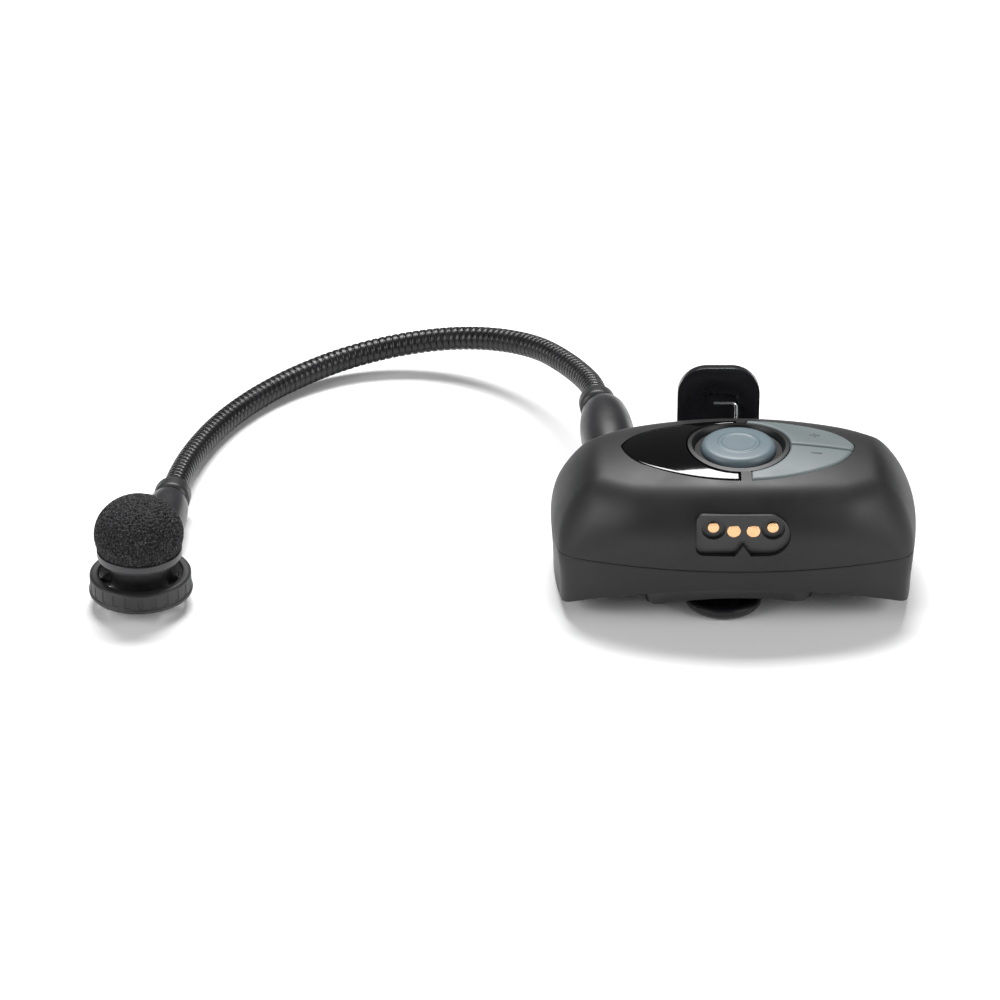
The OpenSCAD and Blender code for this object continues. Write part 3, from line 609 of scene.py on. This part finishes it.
def buildControls():
    split = panel["split"]
    lens = panelPlate("displayLens", lambda r: panelSpan(-1, r, 0)[0],
                      lambda r: panelSpan(-1, r, 0)[1], panel["lensRise"], "glossAcrylic", 96, 26)
    settle(lens, "pack", "lens_black", "display_lens")
    up = panelPlate("volumeUp", lambda r: math.asin((split + 0.15) / r),
                    lambda r: panelSpan(1, r, 0)[1], panel["keyRise"], "siliconeKey", 56, 26)
    settle(up, "volume_up", "button_grey", "volume_up_key")
    down = panelPlate("volumeDown", lambda r: panelSpan(1, r, 0)[0],
                      lambda r: math.asin((split - 0.15) / r), panel["keyRise"], "siliconeKey", 56, 26)
    settle(down, "volume_down", "button_grey", "volume_down_key")
    for name, (x, y, wide, deep, body) in signs.items():
        bm = bmesh.new()
        bmesh.ops.create_cube(bm, size=1)
        bmesh.ops.scale(bm, vec=(wide * mm, deep * mm, signShape["thick"] * mm), verts=bm.verts)
        bmesh.ops.bevel(bm, geom=bm.edges[:], offset=signShape["edge"] * mm, offset_type="OFFSET",
                        segments=3, profile=0.5, affect="EDGES", material=-1)
        crown = pack["domeMajor"] + pack["domeMinor"]
        lean = math.degrees(math.atan2(-x, math.sqrt(crown ** 2 - x * x)))
        place = shift(x, y, domeHeight(x, y) + panel["keyRise"] - signShape["sunk"])
        place = place @ turn(-lean, "Y") @ turn(-y, "X")
        bmesh.ops.transform(bm, matrix=place, verts=bm.verts)
        settle(makePiece(name, bm, "keyMark"), body, "button_grey")
    # from the stem's foot, round the flange, up the side and over the raised ring on its top
    foot, stem, low, top = button["foot"], button["stem"], button["low"], button["top"]
    ledge = low + button["flangeThick"]
    inRing, outRing = button["ring"]
    cap = softCorners([(0, foot, 0), (stem, foot, 0.3), (stem, low, 0), (button["flange"], low, 0),
                       (button["flange"], ledge, 0), (button["r"], ledge, 0), (button["r"], top, 1.5),
                       (outRing, top + 0.14, 0.4), (outRing - 0.25, top + 0.3, 0.2),
                       (inRing + 0.25, top + 0.32, 0.2), (inRing, top + 0.18, 0.3), (0, top + 0.22, 0)])
    settle(makePiece("mainButton", latheMesh(cap, Matrix.Identity(4), steps=96), "siliconeButton", 50),
           "button", "button_grey", "main_button")
    print("controls ready")


contacts = [   # name, where the port says they are, how far they stand proud of it in mm, node
    ("contactPads", "pads", "padZ", "padR", 0.15, "contact_pads"),
    ("contactPins", "pins", "pinZ", "pinR", -0.4, "contact_pins"),
]
contactLong = 4.5


def buildContacts():
    toFront = turn(90, "X")
    for name, key, z, r, rise, node in contacts:
        whole = bmesh.new()
        for x in port[key]:
            radius = port[r]
            face = -port["face"] + rise
            domed = softCorners([(0, face - contactLong, 0), (radius, face - contactLong, 0),
                                 (radius, face - 0.12, 0.2), (radius * 0.5, face - 0.02, 0.4),
                                 (0, face, 0)])
            part = latheMesh(domed, shift(x, 0, port[z]) @ toFront, steps=48)
            mesh = bpy.data.meshes.new("part")
            part.to_mesh(mesh)
            part.free()
            whole.from_mesh(mesh)
            bpy.data.meshes.remove(mesh)
        settle(makePiece(name, whole, "goldPlate", 50), "pack", "gold", node)
    print("contacts ready")


# one ribbed coil for each bending joint
neck = {
    "start": (-30.08, 51.75, 19.54), "turnZ": -30.4, "tilt": 11.2, "heading": 124.4, "link": 21.4,
    "turns": [14, 10, 29, 35, 30, 21, 17, 12, 5], "radius": 2.8,
    "ribs": 13, "ringsPerRib": 9, "around": 34, "groove": 0.36, "ribPower": 5,
    "reach": 7.5, "root": 3.3, "ribsBefore": 4, "ribsAfter": 2,
}
neckPlace = shift(*neck["start"]) @ turn(neck["turnZ"], "Z") @ turn(-neck["tilt"], "Y")


def neckPoint(s):
    # place and heading on the centreline, in the plane that it curves in
    x, y, h = 0.0, 0.0, neck["heading"]
    if s < 0:
        return x + s * math.cos(math.radians(h)), y + s * math.sin(math.radians(h)), h
    count = len(neck["turns"])
    for k, bend in enumerate(neck["turns"]):
        length = neck["link"] / 2 if k in (0, count - 1) else neck["link"]
        part = min(s, length)
        angle = bend * part / length
        radius = length / math.radians(bend)
        chord = 2 * radius * math.sin(math.radians(angle) / 2)
        x += chord * math.cos(math.radians(h + angle / 2))
        y += chord * math.sin(math.radians(h + angle / 2))
        h += angle
        s -= part
        if s <= 0:
            return x, y, h
    return x + s * math.cos(math.radians(h)), y + s * math.sin(math.radians(h)), h


def neckMatrix(s):
    x, y, h = neckPoint(s)
    return neckPlace @ shift(x, y, 0) @ turn(h, "Z")


def buildNeck():
    length = neck["link"]
    pitch = length / neck["ribs"]
    for k in range(8):
        first = -neck["ribsBefore"] if k == 0 else 0
        last = neck["ribs"] + (neck["ribsAfter"] if k == 7 else 0)
        rings = (last - first) * neck["ringsPerRib"]
        bm = bmesh.new()
        bmesh.ops.create_grid(bm, x_segments=rings, y_segments=neck["around"], size=0.5)
        frames = [neckMatrix(k * length + pitch * (first + (last - first) * i / rings))
                  for i in range(rings + 1)]
        for v in bm.verts:
            i = round((v.co.x + 0.5) * rings)
            t = v.co.y + 0.5
            phase = (first + (last - first) * i / rings + t) % 1
            r = neck["radius"] - neck["groove"] * abs(2 * phase - 1) ** neck["ribPower"]
            a = 2 * math.pi * t
            v.co = frames[i] @ Vector((0, r * math.cos(a) * mm, r * math.sin(a) * mm))
        bmesh.ops.remove_doubles(bm, verts=bm.verts, dist=1e-7)
        sealBase(bm)
        piece = makePiece(f"neckCoil{k + 1}", bm, "coatedCoil", 60)
        middle = neckMatrix((k + 0.5) * length)
        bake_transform(piece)
        stands = [f"neck_link_{k + 1}"] + (["neck_link_9"] if k == 7 else [])
        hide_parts(*stands)
    print("gooseneck ready")


boots = {
    "at": (-27, 19.5, 19.9), "heading": 93.4, "length": 25, "foot": 5, "fat": 6.1, "mouth": 3.6,
    "fatAt": 12, "micFoot": 2, "micFat": 5.2, "micMouth": 3.9, "micFrom": 10.8, "micShort": 4.4,
}
collarShape = [(0, 0.2, 0), (2.6, 0.2, 0.1), (2.9, 0, 0.1), (3.7, 0, 0), (4.2, 0.5, 0.5),
               (4.2, 4.2, 0.5), (3.4, 5, 0.2), (0, 5, 0)]   # radius, height and rounding in mm


def eggProfile(length, foot, fat, mouth, fatAt, steps=22):
    # swells from the foot to its fattest, then closes in to the mouth
    rise = [(foot + (fat - foot) * math.sin(math.pi / 2 * k / steps), fatAt * k / steps)
            for k in range(steps + 1)]
    fall = [(mouth + (fat - mouth) * math.cos(math.pi / 2 * k / steps),
             fatAt + (length - fatAt) * math.sin(math.pi / 2 * k / steps)) for k in range(1, steps + 1)]
    return [(0, 0)] + rise + fall + [(0, length)]


def buildBoots():
    alongX = turn(90, "Y")
    bootPlace = shift(*boots["at"]) @ turn(boots["heading"], "Z") @ alongX
    egg = eggProfile(boots["length"], boots["foot"], boots["fat"], boots["mouth"], boots["fatAt"])
    boot = makePiece("bodyBoot", latheMesh(egg, bootPlace), "bootRubber", 50)
    settle(boot, "pack", "boot_grey", "body_boot")
    collar = softCorners(collarShape)
    firstPlace = neckMatrix(-neck["root"]) @ turn(180, "Z") @ alongX
    first = makePiece("bodyCollar", latheMesh(collar, firstPlace), "collarNylon", 50)
    settle(first, "pack", "collar_black", "body_collar")
    lastPlace = neckMatrix(8 * neck["link"]) @ alongX
    last = makePiece("micCollar", latheMesh(collar, lastPlace), "collarNylon", 50)
    settle(last, "boom", "collar_black", "mic_collar")
    middle = Vector((mic["x"], mic["y"], mic["trunnion"]))
    end = neckMatrix(8 * neck["link"]).translation / mm
    run = end - middle
    reach = run.length - mic["ringR"] - boots["micShort"]
    aim = run.to_track_quat("X", "Z").to_matrix().to_4x4()
    arm = shift(*middle) @ aim @ shift(boots["micFrom"], 0, 0) @ alongX
    egg = eggProfile(reach, boots["micFoot"], boots["micFat"], boots["micMouth"], reach * 0.5)
    boot = makePiece("micBoot", latheMesh(egg, arm), "bootRubber", 50)
    settle(boot, "boom", "boot_grey", "mic_boot")
    print("boots ready")


# ring, windscreen cup and foam
mic = {"x": -130.8, "y": -8.7, "ringZ": 3.4, "trunnion": 5.7, "rim": 13.8,
       "cupR": 9.35, "cupH": 2.6, "cupHole": 5.3, "cupWall": 1.0,
       "ringR": 11.4, "bore": 9.1, "ringH": 4.6, "lip": 0.25, "notches": 48,
       "notchIn": 0.18, "notchDeep": 0.1, "plainFrom": 84, "plainTo": 110,
       "foamWide": 9.85, "foamTall": 8.6, "foamLift": 3.4, "foamPlug": 0.9,
       "pore": 0.95, "poreDepth": 0.34, "lump": 2.5, "lumpDepth": 0.10}
# the foam's two colours: painted shade in its pores and painted glints on its struts
foamLook = {"cell": 0.8, "glintSize": 0.35, "depth": 0.15, "pore": "#010101", "strut": "#5c5c60"}


def buildMicrophone():
    place = shift(mic["x"], mic["y"], mic["ringZ"])
    bore, r, h = mic["bore"], mic["ringR"], mic["ringH"]
    band = r - mic["lip"]
    ring = softCorners([(bore, 0, 0.15), (r, 0, 0.2), (r, 0.7, 0.15), (band, 0.9, 0.1),
                        (band, h - 0.7, 0), (band, h - 0.45, 0.3), (r - 0.8, h, 0.35),
                        (bore + 0.3, h, 0.3), (bore, h - 0.35, 0.2)], closed=True)
    bm = latheMesh(ring, Matrix.Identity(4), closed=True, steps=mic["notches"] * 2)
    grip = []
    for face in bm.faces:
        c = face.calc_center_median() / mm
        if math.hypot(c.x, c.y) > band - 0.05 and 1.2 < c.z < 3.7:
            a = math.degrees(math.atan2(c.y, c.x))
            at = round(a % 360 / 360 * mic["notches"] * 2 - 0.5)
            if at % 4 in (0, 1) and not mic["plainFrom"] < a < mic["plainTo"]:
                grip.append(face)
    bmesh.ops.inset_region(bm, faces=grip, thickness=mic["notchIn"] * mm, depth=0.0,
                           use_even_offset=True)
    bmesh.ops.inset_region(bm, faces=grip, thickness=0.05 * mm, depth=-mic["notchDeep"] * mm,
                           use_even_offset=True)
    bmesh.ops.recalc_face_normals(bm, faces=bm.faces)
    bmesh.ops.transform(bm, matrix=place, verts=bm.verts)
    settle(makePiece("micRing", bm, "ringNylon", 40), "boom", "ring_black", "mic_ring")

    cupPlace = shift(mic["x"], mic["y"], mic["rim"] - mic["cupH"])
    hole, r, h = mic["cupHole"], mic["cupR"], mic["cupH"]
    inside = r - mic["cupWall"]
    cup = softCorners([(hole, 0, 0.1), (r - 0.9, 0, 0.5), (r, 0.9, 0.6), (r, h, 0.2), (inside, h, 0.15),
                       (inside, 1.2, 0.1), (hole, 1.2, 0.1)], closed=True)
    cupBm = latheMesh(cup, cupPlace, closed=True, steps=96)
    settle(makePiece("windscreenCup", cupBm, "cupNylon", 50), "mic_head", "cup_grey", "windscreen_cup")

    finishes["openCellFoam"] = openCellFoam("openCellFoam", foamLook)
    bm = bmesh.new()
    bmesh.ops.create_icosphere(bm, subdivisions=7, radius=1)
    # a ball dented by its pores; below the cup's rim it narrows to a plug that fills the cup
    low = -mic["foamLift"] - mic["foamPlug"]
    plugR = mic["cupR"] - 1.15
    for v in bm.verts:
        p = Vector((v.co.x * mic["foamWide"], v.co.y * mic["foamWide"], v.co.z * mic["foamTall"]))
        near = noise.voronoi(p / mic["pore"])[0]
        dent = mic["poreDepth"] * min((near[1] - near[0]) / 0.45, 1)
        lump = mic["lumpDepth"] * noise.noise(p / mic["lump"])
        p -= v.co * (dent + max(lump, 0))
        flat = math.hypot(p.x, p.y)
        if p.z < -mic["foamLift"] and flat > plugR:
            if p.z > -mic["foamLift"] - 0.35:
                p.z = -mic["foamLift"] + 0.03
            else:
                p.x *= plugR / flat
                p.y *= plugR / flat
        p.z = max(p.z, low)
        v.co = p * mm
    middle = Vector((mic["x"], mic["y"], mic["rim"] + mic["foamLift"]))
    bmesh.ops.translate(bm, verts=bm.verts, vec=middle * mm)
    foam = makePiece("foamWindscreen", bm, "openCellFoam", 180)
    settle(foam, "mic_head", "foam", "foam_windscreen")
    print("microphone ready:", len(foam.data.polygons), "foam faces")


# spring wire, lever and saddle
clip = {"pivot": (17.5, 4.2), "wire": 0.4, "coil": (-5.4, 1.4), "coilR": 1.55, "coilTurns": 8,
        "riseY": 27.2, "riseZ": 5.2, "legY": 29.55, "lowZ": 2.45, "hookZ": 29.2, "hookRun": 5.0,
        "bend": 1.1, "edge": 0.25}


def roundedPath(points, radius, steps=6):
    # a bent wire's line, with a curve in place of each corner
    shares = [j / steps for j in range(steps + 1)]
    out = [Vector(points[0])]
    for before, here, after in zip(points, points[1:], points[2:]):
        here = Vector(here)
        a = here + (Vector(before) - here).normalized() * radius
        b = here + (Vector(after) - here).normalized() * radius
        out += [a * (1 - t) ** 2 + here * 2 * t * (1 - t) + b * t ** 2 for t in shares]
    return out + [Vector(points[-1])]


def buildSpring():
    y, z = clip["pivot"]
    x0, x1 = clip["coil"]
    wire = clip["wire"]
    first, last = x0 + wire + 0.1, x1 - wire - 0.1
    points = [Vector((first, y - 8.6, z + clip["coilR"]))]
    count = clip["coilTurns"] * 24 + 12
    for k in range(count + 1):
        a = math.pi / 2 - 2 * math.pi * k / 24
        points.append(Vector((first + (last - first) * k / count, y + clip["coilR"] * math.cos(a),
                              z + clip["coilR"] * math.sin(a))))
    leg = roundedPath([(last, y, z - clip["coilR"]), (last, clip["riseY"], clip["lowZ"]),
                       (last, clip["legY"], clip["riseZ"]), (last, clip["legY"], clip["hookZ"]),
                       (last - clip["hookRun"], clip["legY"], clip["hookZ"])], clip["bend"])
    curve = bpy.data.curves.new("springPath", "CURVE")
    curve.dimensions = "3D"
    curve.bevel_depth = wire * mm
    curve.bevel_resolution = 4
    curve.use_fill_caps = True
    spline = curve.splines.new("POLY")
    route = points + leg[1:]
    spline.points.add(len(route) - 1)
    for at, p in zip(spline.points, route):
        at.co = (*(p * mm), 1)
    drawn = bpy.data.objects.new("springDrawn", curve)
    bpy.context.scene.collection.objects.link(drawn)
    mesh = bpy.data.meshes.new_from_object(drawn.evaluated_get(bpy.context.evaluated_depsgraph_get()))
    bpy.data.objects.remove(drawn)
    bm = bmesh.new()
    bm.from_mesh(mesh)
    bmesh.ops.remove_doubles(bm, verts=bm.verts, dist=1e-7)
    bmesh.ops.recalc_face_normals(bm, faces=bm.faces)
    settle(makePiece("clipSpring", bm, "springSteel", 60), "clip", "steel", "clip_spring")


saddle = {"x": -2.4, "half": 18.6, "thick": 4.0, "top": 10.85, "thinnest": 0.04,
          "cuts": (0.35, 0.6, 0.8, 0.93, 0.99)}   # shares of the lobe where it gets a row of points


def roundSaddle(bm):
    # both ends of the saddle thin down to a rounded lobe
    tipFrom = saddle["half"] - saddle["thick"]
    arch = pack["archRadius"]
    for side in (-1, 1):
        for share in (0,) + saddle["cuts"]:
            at = saddle["x"] + side * (tipFrom + share * saddle["thick"])
            bmesh.ops.bisect_plane(bm, geom=bm.verts[:] + bm.edges[:] + bm.faces[:], dist=1e-7,
                                   plane_co=(at * mm, 0, 0), plane_no=(1, 0, 0))
    for v in bm.verts:
        x, z = v.co.x / mm, v.co.z / mm
        u = min(max((abs(x - saddle["x"]) - tipFrom) / saddle["thick"], 0), 1)
        top = saddle["top"] - arch + math.sqrt(arch ** 2 - x * x)
        if u > 0 and z < top:
            v.co.z = (top - (top - z) * max(math.sqrt(1 - u * u), saddle["thinnest"])) * mm


def softCopy(node, name, finish, width, body, slotName, reshape=None):
    # the CAD piece with its edges eased
    bm = bmesh.new()
    bm.from_mesh(nodes[node].data)
    bmesh.ops.remove_doubles(bm, verts=bm.verts, dist=2e-6)
    bmesh.ops.dissolve_limit(bm, angle_limit=math.radians(0.8), verts=bm.verts, edges=bm.edges)
    if reshape:
        reshape(bm)
    edges = [e for e in bm.edges if e.is_manifold and e.calc_face_angle(0) > math.radians(38)]
    bmesh.ops.bevel(bm, geom=edges, offset=width * mm, offset_type="OFFSET", segments=2, profile=0.5,
                    affect="EDGES", material=-1, clamp_overlap=True)
    piece = makePiece(name, bm, finish, 30)
    settle(piece, body, slotName, node)
    return piece


def buildClip():
    buildSpring()
    softCopy("clip_lever", "clipLever", "clipNylon", clip["edge"], "clip", "clip_black")
    softCopy("clip_bracket", "clipBracket", "saddleNylon", clip["edge"], "pack", "clip_black",
             roundSaddle)
    print("clip ready")


buildPack()
buildControls()
buildContacts()
buildNeck()
buildBoots()
buildMicrophone()
buildClip()
